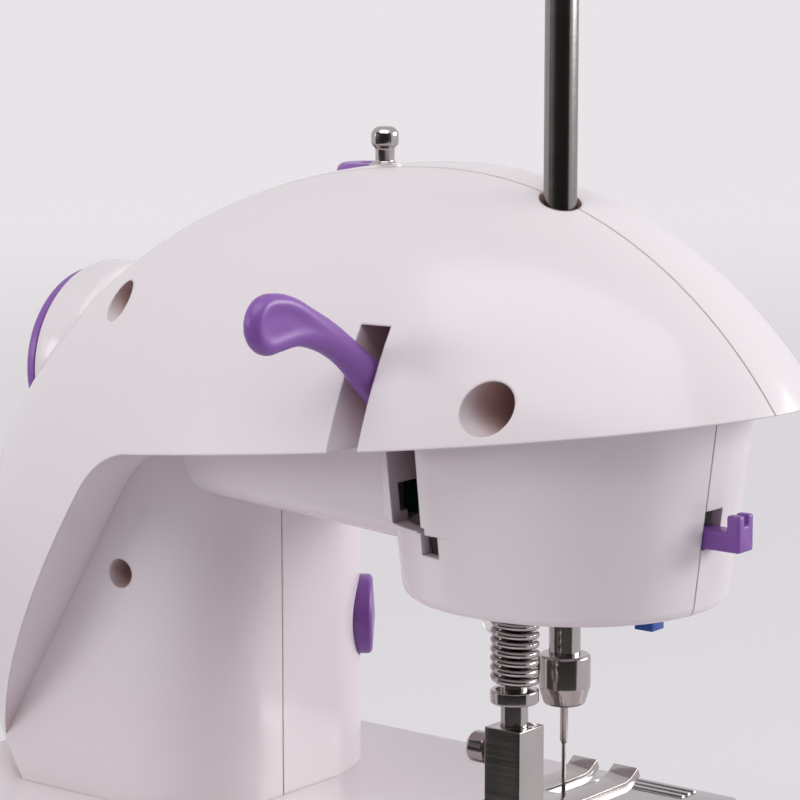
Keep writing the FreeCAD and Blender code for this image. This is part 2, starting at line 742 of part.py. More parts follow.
def tooth_ring(teeth, module, tip, root, phase):
    """The closed outline of a toothed wheel, each flank straight from root to pitch to tip."""
    pitch = teeth * module / 2
    base = pitch * math.cos(PRESSURE)
    half = math.pi / (2 * teeth) - SLACK / (2 * pitch) + involute(PRESSURE)
    flank = []
    for radius in (pitch - root, pitch, pitch + tip):
        flank.append((radius, half - involute(math.acos(min(1, base / radius)))))
    corners = []
    for i in range(teeth):
        middle = phase + 2 * math.pi * i / teeth
        corners += [(radius, middle - lean) for radius, lean in flank]
        corners += [(radius, middle + lean) for radius, lean in reversed(flank)]
    points = [Vector(radius * math.cos(angle), radius * math.sin(angle), 0) for radius, angle in corners]
    return Part.makePolygon(points + points[:1])


def toothed(ring, width, bore, taper=1):
    """A wheel of that outline and width, drawn in towards its far face by the taper."""
    far = ring.copy()
    far.scale(taper)
    far.translate(Vector(0, 0, width))
    solid = Part.makeLoft([ring, far], True, True)
    if bore:
        solid = solid.cut(Part.makeCylinder(bore, 3 * width, Vector(0, 0, -width)))
    wheel = doc.addObject("Part::Feature", "Wheel")
    wheel.Shape = solid
    return wheel


UP_X = Rotation(Vector(0, 1, 0), -90)
SHAFT_BEARINGS = ("-21", "58")
GEAR_TEETH = int(amount_of("gear_teeth"))
PINION_TEETH = int(amount_of("pinion_teeth"))
BEVEL_TEETH = int(amount_of("bevel_teeth"))
HOOK_TEETH = int(amount_of("hook_teeth"))
MODULE = amount_of("gear_module")
BEVEL_MODULE = amount_of("bevel_module")
MOTOR_Z = "shaft_z - 0.5 * gear_module * (gear_teeth + pinion_teeth)"
MOTOR_X = "gear_x + gear_width + 1.9"
PULLEY_TEETH = 14
PULLEY_TIP = 0.05
SHAFT_FIT = amount_of("shaft_radius") + 0.02

gear_ring = tooth_ring(GEAR_TEETH, MODULE, 0.9 * MODULE, 1.25 * MODULE, 0)
drive_gear = toothed(gear_ring, amount_of("gear_width"), SHAFT_FIT)
piece("drive_gear", place(drive_gear, "gear_x", "shaft_y", "shaft_z", ALONG))
pinion_ring = tooth_ring(PINION_TEETH, MODULE, 0.9 * MODULE, 1.25 * MODULE, math.pi / PINION_TEETH)
pinion = place(toothed(pinion_ring, amount_of("gear_width"), 0), "gear_x", "shaft_y", MOTOR_Z, ALONG)
piece("motor_pinion", union(pinion, rod(1.2, "gear_width + 8", "gear_x", "shaft_y", MOTOR_Z, "x")))

LOWER_GEAR_X = "needle_x + 0.5 * bevel_module * hook_teeth"
HOOK_GEAR_Z = "lower_z + 0.5 * bevel_module * bevel_teeth"
BEVEL_FAR = 0.7
lower_ring = tooth_ring(BEVEL_TEETH, BEVEL_MODULE, 0.9, 1.5, 0)
lower_reach = (1 - BEVEL_FAR) * BEVEL_MODULE * HOOK_TEETH / 2
lower_gear = place(toothed(lower_ring, lower_reach, 0, BEVEL_FAR), LOWER_GEAR_X, "hook_y", "lower_z", UP_X)
piece("lower_gear", union(lower_gear, rod("5", "3", LOWER_GEAR_X, "hook_y", "lower_z", "x")))
hook_ring = tooth_ring(HOOK_TEETH, BEVEL_MODULE, 0.6, 0.75, math.pi / HOOK_TEETH)
hook_reach = (1 - BEVEL_FAR) * BEVEL_MODULE * BEVEL_TEETH / 2
hook_gear = toothed(hook_ring, hook_reach, 0, BEVEL_FAR)
piece("hook_gear", place(hook_gear, "needle_x", "hook_y", HOOK_GEAR_Z, DOWN))


def pulley(y, z, bore):
    """A toothed belt pulley with a rim on each side."""
    module = 2 * amount_of("pulley_radius") / PULLEY_TEETH
    teeth = toothed(tooth_ring(PULLEY_TEETH, module, PULLEY_TIP, 1.1, 0), amount_of("belt_width") + 1, bore)
    rims = [minus(rod("pulley_radius + 2.2", 0.8, x, y, z, "x"), rod(bore, 3, f"{x} - 1", y, z, "x"))
            for x in ("belt_x - 0.8", "belt_x + belt_width + 1")]
    return union(place(teeth, "belt_x", y, z, ALONG), *rims)


def drive_belt():
    """A closed belt that runs down the column round both pulleys."""
    top = Vector(0, amount_of("shaft_y"), amount_of("shaft_z"))
    low = Vector(0, amount_of("hook_y"), amount_of("lower_z"))
    down = (low - top).normalize()
    span = "sqrt((shaft_y - hook_y)^2 + (shaft_z - lower_z)^2)"
    inside = "pulley_radius + 0.35"
    body = plate("xy", "0", "belt_width", (draw_slot, "0", span, "0", f"{inside} + belt_thick"),
                 (draw_slot, "0", span, "0", inside))
    turn = Rotation(down, Vector(1, 0, 0).cross(down), Vector(1, 0, 0), "ZXY")
    return place(body, "belt_x + 0.5", "shaft_y", "shaft_z", turn)


def bush(radius, length, x, y, z, axis):
    """A plain bearing ring."""
    start = {"x": (f"{x} - 1", y, z), "z": (x, y, f"{z} - 1")}[axis]
    return minus(rod(f"{radius} + 1.58", length, x, y, z, axis),
                 rod(f"{radius} + running_gap", f"{length} + 2", *start, axis))


piece("upper_pulley", pulley("shaft_y", "shaft_z", SHAFT_FIT))
piece("lower_pulley", pulley("hook_y", "lower_z", amount_of(LOWER_RADIUS) + 0.02))
piece("drive_belt", drive_belt())
piece("main_shaft", rod("shaft_radius", "wheel_x + wheel_width + 29 - 0.2", "-29", "shaft_y", "shaft_z", "x"))
lower_start = f"{LOWER_GEAR_X} + 3.05"
piece("lower_shaft", rod(LOWER_RADIUS, f"39 - ({lower_start})", lower_start, "hook_y", "lower_z", "x"))
bushes = [bush("shaft_radius", "6", x, "shaft_y", "shaft_z", "x") for x in SHAFT_BEARINGS]
bushes += [bush(LOWER_RADIUS, "6", x, "hook_y", "lower_z", "x") for x in LOWER_BEARINGS]
piece("shaft_bushes", group(*bushes))
CRANK_Y = "needle_y - sqrt((0.5 * stroke)^2 - (yoke_z - shaft_z)^2)"
piece("crank_disc", union(rod("0.5 * stroke + 3.5", "4.15", "-33.2", "shaft_y", "shaft_z", "x"),
                          rod("2.2", "2.4", "-35.4", CRANK_Y, "yoke_z", "x")))

WHEEL = [("shaft_radius + 0.02", "0"), ("wheel_radius", "0", "2.5"), ("wheel_radius", "wheel_width", "4"),
         ("shaft_radius + 0.02", "wheel_width")]
CAP = [("0", "0"), ("wheel_radius - 2", "0"), ("wheel_radius - 2", "3", "1.6"), ("0", "3")]
piece("handwheel", turned(WHEEL, "wheel_x", "shaft_y", "shaft_z", ALONG))
piece("handwheel_cap", turned(CAP, "wheel_x + wheel_width + 0.05", "shaft_y", "shaft_z", ALONG))

MOTOR = [("1.3", "0"), ("1.3", "-1.4"), ("4", "-1.4"), ("4", "0"), ("motor_radius", "0", "1.5"),
         ("motor_radius", "motor_length", "1.5"), ("3.5", "motor_length"), ("3.5", "motor_length + 1.2"),
         ("0", "motor_length + 1.2"), ("0", "8"), ("1.3", "8")]
piece("motor", turned(MOTOR, MOTOR_X, "shaft_y", MOTOR_Z, ALONG))
bracket_plate = plate("yz", f"{MOTOR_X} - 1.5", f"{MOTOR_X} - 0.05",
                      (draw_outline, rectangle("-27", "10.8", f"({MOTOR_Z}) - 13.5", "146", "3")),
                      (draw_circle, "shaft_y", "shaft_z", "shaft_radius + 1.5"),
                      (draw_circle, "shaft_y", MOTOR_Z, "4.2"))
bracket_flange = block(f"{MOTOR_X} - 0.2", f"{MOTOR_X} + 9", "9.4", "10.8", "130", "144")
piece("motor_bracket", union(bracket_plate, bracket_flange))


def arm_frame():
    """The chassis in the arm: a beam behind the shaft and an upright for each bearing."""
    near, far = SHAFT_BEARINGS
    beam = block(near, f"{far} + 6", "11", "14", "128", "146")
    head = block(near, f"{near} + 6", "-24", "14", "128", "frame_top_z")
    tail = block(far, f"{far} + 6", "-21", "14", "131", "146")
    seats = [rod("shaft_radius + 1.6", 20, f"{x} - 5", "shaft_y", "shaft_z", "x") for x in SHAFT_BEARINGS]
    return minus(union(beam, head, tail), *seats)


def head_frame():
    """The chassis in the head: two arms that guide the bars, on an upright with the take-up's pivot."""
    parts = [
        block("-52.5", "-50", "-24", "0", "rim_z + 3", "frame_top_z"),
        block("-52.5", "-50", "-33", "0", "147", "160"),
        block("-52.5", "-15", "-22", "0", "frame_top_z", "frame_top_z + 3"),
        block("-49.6", "-15", "-1", "10", "frame_top_z", "frame_top_z + 3"),
        block("-52.5", "-36.9", "-20", "10", "rim_z + 3", "rim_z + 7"),
    ]
    holes = [rod(2.02, 10, "-56", "takeup_y", "takeup_z", "x")]
    for y, radius in BARS:
        holes.append(rod(f"{radius} + 1.6", 80, "needle_x", y, "rim_z"))
    return minus(union(*parts), *holes)


BARS = (("needle_y", "needle_bar_radius"), ("presser_y", "presser_radius"))
piece("arm_frame", arm_frame())
piece("head_frame", head_frame())
piece("bar_bushes", group(*[bush(radius, length, "needle_x", y, z, "z") for y, radius in BARS
                            for z, length in (("rim_z + 3", "4"), ("frame_top_z", "3"))]))
lifter_pin = rod(2, "slot_width + 2 * wall - 0.1", "slot_x - wall + 0.05", "lifter_y", "lifter_z", "x")
takeup_pin = rod(2, "6", "-52.5", "takeup_y", "takeup_z", "x")
piece("pivot_pins", group(lifter_pin, takeup_pin))

# Needle bar
bar_length = "needle_bar_top_z - needle_bar_low_z"
piece("needle_bar", rod("needle_bar_radius", bar_length, "needle_x", "needle_y", "needle_bar_low_z"))
YOKE_LOW, YOKE_HIGH = "yoke_z - 5.5", "yoke_z + 5.5"
yoke = minus(block("-38.8", "-35.8", "needle_y - 14.4", "needle_y + 14.4", YOKE_LOW, YOKE_HIGH),
             block("-40", "-35", "needle_y - 12.4", "needle_y + 12.4", "yoke_z - 2.5", "yoke_z + 2.5"))
sleeve = rod("needle_bar_radius + 0.9", 11, "needle_x", "needle_y", YOKE_LOW)
neck = block("needle_x", "-38.7", "needle_y - 3", "needle_y + 3", YOKE_LOW, YOKE_HIGH)
bar_bore = rod("needle_bar_radius + 0.02", 30, "needle_x", "needle_y", "yoke_z - 15")
piece("needle_yoke", minus(union(yoke, sleeve, neck), bar_bore))
CLAMP = [("0.95", "-11"), ("4.4", "-11", "1"), ("5.6", "-7", "1"), ("5.6", "0", "0.8"),
         ("needle_bar_radius + 0.02", "0"), ("needle_bar_radius + 0.02", "-9.05"), ("0.95", "-9.05")]
clamp = turned(CLAMP, "needle_x", "needle_y", "needle_clamp_z")
piece("needle_clamp", minus(clamp, rod("1.62", "10", "needle_x + 3", "needle_y", "needle_clamp_z - 4", "x")))


def thumb_screw(x, y, z, reach):
    """A screw with a fat round head, turned by hand."""
    top = f"{reach} + 4.5"
    corners = [("0", "0"), ("1.6", "0"), ("1.6", reach), ("3.4", reach, "0.5"), ("3.4", top, "0.9"),
               ("0", top)]
    return turned(corners, x, y, z, ALONG)


piece("clamp_screw", thumb_screw("needle_x + needle_bar_radius + 0.1", "needle_y", "needle_clamp_z - 4", "4"))
NEEDLE = [("0", "needle_tip_z"), ("0.45", "needle_tip_z + 3"), ("0.45", "needle_tip_z + 16"),
          ("0.85", "needle_tip_z + 17"), ("0.85", "needle_bar_low_z"), ("0", "needle_bar_low_z")]
piece("needle", turned(NEEDLE, "needle_x", "needle_y", "0"))

# Presser bar
presser_low = "presser_sole_z + 8"
stem = rod("presser_radius", f"presser_top_z - ({presser_low})", "needle_x", "presser_y", presser_low)
collar = rod("spring_radius + 0.75", "2.8", "needle_x", "presser_y", "spring_low_z - 2.9")
piece("presser_bar", union(stem, collar))
ring = rod("presser_radius + 1.5", "6", "needle_x", "presser_y", "lifter_z + 12")
finger = block("-40.5", "-34.5", "presser_y + 1.8", "20", "lifter_z + 14", "lifter_z + 18")
ring_bore = rod("presser_radius + 0.02", 30, "needle_x", "presser_y", "lifter_z")
piece("presser_guide", minus(union(ring, finger), ring_bore))


def presser_foot():
    """A forked sole with turned up toes under a block that takes the bar."""
    sole = [("-31", "presser_sole_z + 2.6"), ("-27", "presser_sole_z", "6"), ("9", "presser_sole_z"),
            ("9", "presser_sole_z + 2.4"), ("-26.5", "presser_sole_z + 2.4", "6"),
            ("-30", "presser_sole_z + 4.6")]
    flat = plate("yz", "needle_x - 8.5", "needle_x + 8.5", (draw_outline, sole))
    fork = block("needle_x - 2.2", "needle_x + 2.2", "-40", "needle_y + 4",
                 "presser_sole_z - 5", "presser_sole_z + 10")
    shank = block("needle_x - 4.5", "needle_x + 4.5", "presser_y - 4.4", "presser_y + 4.4",
                  "presser_sole_z + 1", "presser_sole_z + 20")
    bores = [rod("presser_radius + 0.02", 30, "needle_x", "presser_y", "presser_sole_z + 8"),
             rod("1.62", "10", "needle_x + 3", "presser_y", "presser_sole_z + 14", "x")]
    return minus(union(minus(flat, fork), shank), *bores)


def helix_arcs(radius, low, high, turns):
    """A helix of two tangent arcs to each half turn, with a straight end at each side."""
    def at(turn):
        angle = 2 * math.pi * turn
        return Vector(radius * math.cos(angle), radius * math.sin(angle), low + (high - low) * turn / turns)

    def heading(turn):
        angle = 2 * math.pi * turn
        rise = (high - low) / turns / (2 * math.pi)
        return Vector(-radius * math.sin(angle), radius * math.cos(angle), rise).normalize()

    def arc(start, tip, end):
        chord = (start + end) * 0.5
        cosine = (end - start).Length / 2 / (tip - start).Length
        return Part.Arc(start, chord + (tip - chord) * (cosine / (1 + cosine)), end).toShape()

    edges = []
    for half in range(int(2 * turns)):
        first, last = at(half / 2), at((half + 1) / 2)
        out, into = heading(half / 2), heading((half + 1) / 2)
        gap = last - first
        both = out + into
        a = 4 - both.dot(both)
        b = 2 * gap.dot(both)
        reach = (-b + math.sqrt(b * b + 4 * a * gap.dot(gap))) / (2 * a)
        tips = first + out * reach, last - into * reach
        joint = (tips[0] + tips[1]) * 0.5
        edges += [arc(first, tips[0], joint), arc(joint, tips[1], last)]
    wire = amount_of("spring_wire")
    lead_in = Part.LineSegment(at(0) - heading(0) * wire, at(0)).toShape()
    lead_out = Part.LineSegment(at(turns), at(turns) + heading(turns) * wire).toShape()
    return [lead_in, *edges, lead_out]


def presser_spring():
    """The open coil round the presser bar, from its collar up to the bucket's floor."""
    wire = amount_of("spring_wire")
    low = amount_of("spring_low_z + 0.5 * spring_wire + 0.15")
    high = amount_of("rim_z - 0.5 * spring_wire - 0.25")
    turns = amount_of("spring_turns")
    edges = helix_arcs(amount_of("spring_radius"), low, high, turns)
    start = edges[0].Vertexes[0].Point
    section = Part.Wire(Part.Circle(start, edges[0].tangentAt(edges[0].FirstParameter), wire / 2).toShape())
    coil = doc.addObject("Part::Feature", "Coil")
    coil.Shape = Part.Wire(edges).makePipeShell([section], True, False)
    points = [p for e in edges for p in e.discretize(Number=13)[1:]]
    apart = int(13 * 1.5)
    least = min((p - q).Length for i, p in enumerate(points) for q in points[i + apart:])
    print(f"presser spring: least gap to itself {least - wire:.2f} mm")
    return place(coil, "needle_x", "presser_y", "0")


LIFTER = [("11", "132", "4.5"), ("24", "133.4", "7"), ("61.5", "162.2", "9"),
          ("79.6", "160.2", "6"), ("79.6", "173.6", "6.4"), ("66", "173.6", "16"), ("40", "156.5", "14"),
          ("26.5", "147", "3"), ("20.5", "150.2", "1.6"), ("15.5", "149.4", "1.6"), ("11", "142", "3")]
lifter = plate("yz", "slot_x + 1", "slot_x + slot_width - 1.6", (draw_outline, LIFTER),
               (draw_circle, "lifter_y", "lifter_z", "2 + running_gap"))
TAKEUP = [("-24", "147.5", "3"), ("-23.5", "156.5", "3.5"), ("-46", "163", "4"), ("-57", "164.5", "3"),
          ("-57", "157.5", "3"), ("-46", "155.5", "5"), ("-33", "148", "3.5")]
takeup = plate("yz", "takeup_x", "takeup_x + 2", (draw_outline, TAKEUP), (draw_circle, "-53.5", "161", "1.3"),
               (draw_circle, "takeup_y", "takeup_z", "2 + running_gap"))
piece("presser_foot", presser_foot())
piece("foot_screw", thumb_screw("needle_x + presser_radius + 0.1", "presser_y", "presser_sole_z + 14", "3"))
piece("presser_spring", presser_spring())
piece("presser_lifter", lifter)
piece("take_up_lever", takeup)

# Light, thread path and controls
LAMP = [("0", "-13"), ("3.6", "-13", "3.4"), ("3.6", "2.9"), ("0", "2.9")]
piece("sewing_lamp", turned(LAMP, "lamp_x", "lamp_y", "rim_z"))
piece("lamp_board", plate("xz", "14", "15.6", (draw_outline, rectangle("-31.5", "-23", "121", "129.5", "1"))))
piece("thread_cutter", minus(block("-98", "-86.6", "0.2", "seam_y - 0.4", "119.8", "127.2"),
                             block("-95", "-80", "-1", "seam_y + 1", "123.8", "130"),
                             block("-100", "-92.4", "2.2", "3.4", "125", "130")))
guide_front, guide_back = "guide_y - 2.2", "guide_y + 2.2"
guide = union(block("guide_x - 2.2", "guide_x + 2.2", guide_front, guide_back, "rim_z - 8.6", "rim_z - 0.05"),
              rod(1.15, 2.5, "guide_x", "guide_y", "rim_z - 0.2"))
low_notch = block("guide_x - 0.8", "guide_x + 5", "guide_y - 5", "guide_y + 5", "rim_z - 7", "rim_z - 5.6")
high_notch = block("guide_x - 5", "guide_x - 0.4", "guide_y - 5", "guide_y + 5", "rim_z - 4.1", "rim_z - 2.7")
piece("needle_thread_guide", minus(guide, low_notch, high_notch))
POST = [("0", "178"), ("1.5", "178"), ("1.5", "post_seat_z + 0.05"), ("3.4", "post_seat_z + 0.05"),
        ("3.4", "190.2", "0.5"), ("2.1", "190.8", "0.5"), ("2.1", "193.6", "0.6"), ("3", "194.6", "0.8"),
        ("3", "198.4", "2"), ("0", "198.4")]
piece("thread_post", turned(POST, "post_x", "post_y", "0"))
DIAL = [("1.6", "dial_z"), ("dial_radius", "dial_z", "0.6"), ("dial_radius - 0.5", "dial_top_z", "1.8"),
        ("1.6", "dial_top_z")]
GRIP_REACH = "(dial_radius + 0.25)"
GRIPS = 18
grooves = []
for i in range(GRIPS):
    angle = ROUND / GRIPS * i
    x, y = f"dial_x + {GRIP_REACH} * cos({angle})", f"dial_y + {GRIP_REACH} * sin({angle})"
    grooves.append(rod(0.6, 20, x, y, "dial_z - 5"))
piece("tension_dial", minus(turned(DIAL, "dial_x", "dial_y", "0"), *grooves))
TENSION = [("0", "166"), ("2.6", "166"), ("2.6", "168"), ("7", "168"), ("7", "168.8"), ("1.5", "169.6"),
           ("7", "170.4"), ("7", "171.2"), ("1.5", "171.2"), ("1.5", "dial_top_z - 0.5"),
           ("0", "dial_top_z - 0.5")]
piece("tension_post", turned(TENSION, "dial_x", "dial_y", "0"))
tube = rod("spool_radius", "spool_top_z - spool_low_z", "spool_x", "spool_y", "spool_low_z")
tube_bore = rod("rod_radius + running_gap", "100", "spool_x", "spool_y", "spool_low_z - 5")
piece("spool_tube", minus(tube, tube_bore))
ROD = [("0", "196"), ("rod_radius", "196"), ("rod_radius", "rod_top_z"), ("3.4", "rod_top_z"),
       ("3.4", "rod_top_z + 3", "1.4"), ("0", "rod_top_z + 3")]
piece("spool_rod", turned(ROD, "spool_x", "spool_y", "0"))
BUTTON = [("0", "-3.2"), ("button_radius", "-3.2"), ("button_radius", "2.8", "1.2"), ("0", "3.4")]
x, y = corner_point("column_front_round")
piece("power_button", turned(BUTTON, x, y, "button_z", FACING))
SPEED = [("0", "-6"), ("4", "-6"), ("4", "-3"), ("speed_radius", "-3"), ("speed_radius", "2.2", "0.9"),
         ("0", "2.7")]
FORWARD = Rotation(Vector(1, 0, 0), 90)
piece("speed_button", turned(SPEED, "speed_x", "column_front + 0.6", "speed_z", FORWARD))

doc.recompute()
failed = [thing.Label for thing in doc.Objects if {"Invalid", "Error"} & set(thing.State)]
failed += [thing.Label for thing in pieces if thing.Shape.isNull() or not thing.Shape.isValid()]
if failed:
    raise RuntimeError(f"not built: {failed}")
os.makedirs("parts", exist_ok=True)
for thing in pieces:
    thing.Shape.exportStep(f"parts/{thing.Label}.step")
print(f"{len(pieces)} sub-parts written")
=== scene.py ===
import bmesh
import bpy
import json
import math
from mathutils import Matrix, Vector
from mathutils.geometry import delaunay_2d_cdt


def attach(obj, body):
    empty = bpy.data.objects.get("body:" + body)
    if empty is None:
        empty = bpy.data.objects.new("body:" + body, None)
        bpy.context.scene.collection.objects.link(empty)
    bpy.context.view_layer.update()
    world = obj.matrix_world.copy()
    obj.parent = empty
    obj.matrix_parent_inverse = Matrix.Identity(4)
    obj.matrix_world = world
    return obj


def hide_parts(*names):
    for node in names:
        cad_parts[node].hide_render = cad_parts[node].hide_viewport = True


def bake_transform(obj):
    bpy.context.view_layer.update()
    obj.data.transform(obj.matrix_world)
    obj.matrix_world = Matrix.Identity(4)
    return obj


# A compact sewing machine seen from behind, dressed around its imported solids, in metres.
MM = 0.001
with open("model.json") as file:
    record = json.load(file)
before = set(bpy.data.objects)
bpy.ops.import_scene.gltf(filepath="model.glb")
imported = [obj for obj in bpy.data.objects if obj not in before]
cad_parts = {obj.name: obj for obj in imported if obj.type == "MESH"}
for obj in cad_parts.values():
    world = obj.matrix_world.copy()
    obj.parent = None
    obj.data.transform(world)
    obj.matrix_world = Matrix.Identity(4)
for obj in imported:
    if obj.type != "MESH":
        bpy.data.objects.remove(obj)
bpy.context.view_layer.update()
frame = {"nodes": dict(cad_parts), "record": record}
record = frame["record"]
BODY_OF = {node: body for body, nodes in record["behaviour"]["bodies"].items() for node in nodes}
SLOT_OF = {row["node"]: row["material_slot"] for row in record["subparts"]}
UP = Vector((0, 0, 1))
ALONG = Vector((1, 0, 0))


# Finishes

def linear(red, green, blue):
    """A colour read on screen, 0 to 255, as Blender's linear values."""
    def one(value):
        share = value / 255
        return share / 12.92 if share <= 0.04045 else ((share + 0.055) / 1.055) ** 2.4
    return (one(red), one(green), one(blue), 1)


WHITE = linear(236, 227, 231)
# Painted shade: how the white is darkened and warmed in a recess, from shut in to open
RECESS_PAINTED_SHADE = ((0.0, (0.84, 0.64, 0.58, 1)), (0.14, (0.82, 0.66, 0.61, 1)), (0.30, (0.80, 0.72, 0.71, 1)),
                (0.45, (0.95, 0.93, 0.94, 1)), (0.6, (1, 1, 1, 1)))


class Finish:
    """A material whose shader is the Principled one, with its pattern on Object coordinates."""

    def __init__(self, name, rough, metal=0.0, coat=0.0):
        self.material = bpy.data.materials.new(name)
        self.material.use_nodes = True
        self.nodes = self.material.node_tree.nodes
        self.links = self.material.node_tree.links
        self.shader = self.nodes["Principled BSDF"]
        self.shader.inputs["Roughness"].default_value = rough
        self.shader.inputs["Metallic"].default_value = metal
        self.shader.inputs["Coat Weight"].default_value = coat
        self.place = self.nodes.new("ShaderNodeTexCoord").outputs["Object"]

    def add(self, kind, **values):
        """A node of that kind; each value is a property, or an input where it has that name."""
        node = self.nodes.new("ShaderNode" + kind)
        for key, value in values.items():
            word = key.replace("_", " ")
            if word in node.inputs:
                self.feed(node.inputs[word], value)
            else:
                setattr(node, key, value)
        return node

    def feed(self, socket, value):
        """Links a socket to another one, or sets its number."""
        if isinstance(value, bpy.types.NodeSocket):
            self.links.new(value, socket)
        else:
            socket.default_value = value

    def stretched(self, x, y, z):
        """Object coordinates with a scale of their own along each axis."""
        return self.add("Mapping", Vector=self.place, Scale=(x, y, z)).outputs["Vector"]

    def noise(self, scale, detail=3.0, place=None):
        """A soft noise from 0 to 1; the scale is in repeats to the metre."""
        made = self.add("TexNoise", Vector=place or self.place, Scale=scale, Detail=detail)
        return made.outputs["Fac"]

    def between(self, share, low, high):
        """A number that goes softly from low to high with the share."""
        made = self.add("MapRange", Value=share, From_Min=0.15, From_Max=0.85, To_Min=low, To_Max=high)
        return made.outputs["Result"]

    def ramp(self, share, *stops):
        """A colour for each share, blended between the stops."""
        node = self.nodes.new("ShaderNodeValToRGB")
        self.feed(node.inputs["Fac"], share)
        while len(node.color_ramp.elements) < len(stops):
            node.color_ramp.elements.new(1)
        for element, (position, colour) in zip(node.color_ramp.elements, stops):
            element.position = position
            element.color = colour
        return node.outputs["Color"]

    def mixed(self, share, first, second, mode="MIX"):
        """Two colours mixed by the share."""
        node = self.nodes.new("ShaderNodeMix")
        node.data_type = "RGBA"
        node.blend_type = mode
        for socket, value in zip((node.inputs[0], node.inputs[6], node.inputs[7]), (share, first, second)):
            self.feed(socket, value)
        return node.outputs[2]

    def relief(self, height, depth, edge=0.0):
        """Sets the surface's small relief, and softens its edges by the edge radius."""
        bump = self.add("Bump", Height=height, Distance=depth, Strength=1.0)
        if edge:
            soft = self.nodes.new("ShaderNodeBevel")
            soft.samples = 4
            soft.inputs["Radius"].default_value = edge
            self.links.new(soft.outputs["Normal"], bump.inputs["Normal"])
        self.links.new(bump.outputs["Normal"], self.shader.inputs["Normal"])

    def colour(self, value):
        """Sets the base colour."""
        self.feed(self.shader.inputs["Base Color"], value)

    def rough(self, value):
        """Sets the roughness."""
        self.feed(self.shader.inputs["Roughness"], value)


def moulded(name, main, tint, rough, edge=0.4 * MM, coat=0.25, grain=0.001 * MM):
    """Glossy injection moulded plastic: faint flow marks, uneven gloss and an orange-peel skin."""
    made = Finish(name, rough, coat=coat)
    made.shader.inputs["Coat Roughness"].default_value = 0.06
    made.skin = made.mixed(made.noise(24, 3.0), main, tint)
    made.colour(made.skin)
    made.rough(made.between(made.noise(90, 2.0), 0.85 * rough, 1.15 * rough))
    made.relief(made.noise(600, 1.0), grain, edge)
    return made


def white_shell():
    """The white shells, with painted shade: warmer and darker where hardly any light gets in."""
    made = moulded("shell_white", WHITE, linear(234, 225, 229), 0.23, 0.7 * MM, coat=0.12)
    # Painted shade: ambient occlusion darkens and warms the colour in recesses and creases
    shade = made.add("AmbientOcclusion", samples=8, Distance=26 * MM)
    painted_recess_shade = made.ramp(shade.outputs["AO"], *RECESS_PAINTED_SHADE)
    made.colour(made.mixed(1.0, made.skin, painted_recess_shade, "MULTIPLY"))
    return made


def metal(name, colour, rough, streak, lie=UP, edge=0.15 * MM):
    """Turned or drawn metal with fine streaks across the lie of its axis."""
    made = Finish(name, rough, metal=1.0)
    scale = [streak if side else 40 for side in (lie.x, lie.y, lie.z)]
    streaks = made.noise(1.0, 6.0, made.stretched(*scale))
    worn = made.noise(70, 5.0)
    dark = [0.82 * part for part in colour[:3]] + [1]
    made.colour(made.mixed(worn, colour, dark))
    made.rough(made.between(streaks, 0.7 * rough, 1.4 * rough))
    made.relief(streaks, 0.002 * MM, edge)
    return made


def matte(name, main, tint, rough, grain_scale, grain):
    """A matt moulded or rubber surface with a fine grain."""
    made = Finish(name, rough)
    made.colour(made.mixed(made.noise(60, 4.0), main, tint))
    made.rough(made.between(made.noise(240, 3.0), 0.85 * rough, min(1, 1.1 * rough)))
    made.relief(made.noise(grain_scale, 2.0), grain, 0.3 * MM)
    return made


def lamp_lens():
    """The lamp's clear dome, with a little haze in it."""
    made = Finish("lamp_lens", 0.08)
    made.shader.inputs["Transmission Weight"].default_value = 0.85
    made.shader.inputs["IOR"].default_value = 1.45
    made.colour(made.mixed(made.noise(300), (0.95, 0.95, 0.9, 1), (0.86, 0.87, 0.84, 1)))
    return made


FINISHES = {
    "white_shell": white_shell(),
    "white_gloss": moulded("wheel_white", WHITE, linear(233, 224, 228), 0.23),
    "purple": moulded("purple_plastic", linear(138, 88, 172), linear(128, 78, 162), 0.38, coat=0.08,
                      grain=0.004 * MM),
    "blue_plastic": moulded("blue_plastic", linear(28, 84, 172), linear(22, 70, 150), 0.34),
    "grey_cover": matte("cover_grey", linear(206, 202, 206), linear(198, 194, 199), 0.5, 1600, 0.02 * MM),
    "dark_plastic": matte("socket_black", linear(34, 32, 33), linear(26, 25, 26), 0.42, 1400, 0.01 * MM),
    "rubber": matte("rubber_black", linear(38, 37, 38), linear(30, 29, 30), 0.8, 1800, 0.03 * MM),
    "nylon": matte("nylon_cream", linear(226, 220, 203), linear(217, 209, 190), 0.45, 1200, 0.01 * MM),
    "board_green": matte("board_green", linear(40, 112, 58), linear(30, 92, 46), 0.4, 900, 0.01 * MM),
    "chrome": metal("bright_chrome", (0.50, 0.465, 0.45, 1), 0.13, 2600),
    "steel": metal("satin_steel", (0.56, 0.55, 0.55, 1), 0.19, 3200, ALONG),
    "brass": metal("bush_brass", (0.66, 0.48, 0.22, 1), 0.3, 2600),
    "lamp_glass": lamp_lens(),
}
TUBE_STEEL = metal("tube_steel", (0.30, 0.28, 0.27, 1), 0.19, 2400)


# Making meshes

def rounded(corners, steps=6):
    """An outline's points; a corner's third value rounds it."""
    points = []
    for i, corner in enumerate(corners):
        here = Vector(corner[:2])
        if len(corner) < 3:
            points.append(here)
            continue
        back = (Vector(corners[i - 1][:2]) - here).normalized()
        ahead = (Vector(corners[(i + 1) % len(corners)][:2]) - here).normalized()
        half = back.angle(ahead) / 2
        centre = here + (back + ahead).normalized() * (corner[2] / math.sin(half))
        reach = corner[2] / math.tan(half)
        first, last = here + back * reach - centre, here + ahead * reach - centre
        start = math.atan2(first.y, first.x)
        sweep = (math.atan2(last.y, last.x) - start + math.pi) % (2 * math.pi) - math.pi
        for k in range(steps + 1):
            angle = start + sweep * k / steps
            points.append(centre + Vector((math.cos(angle), math.sin(angle))) * corner[2])
    return points


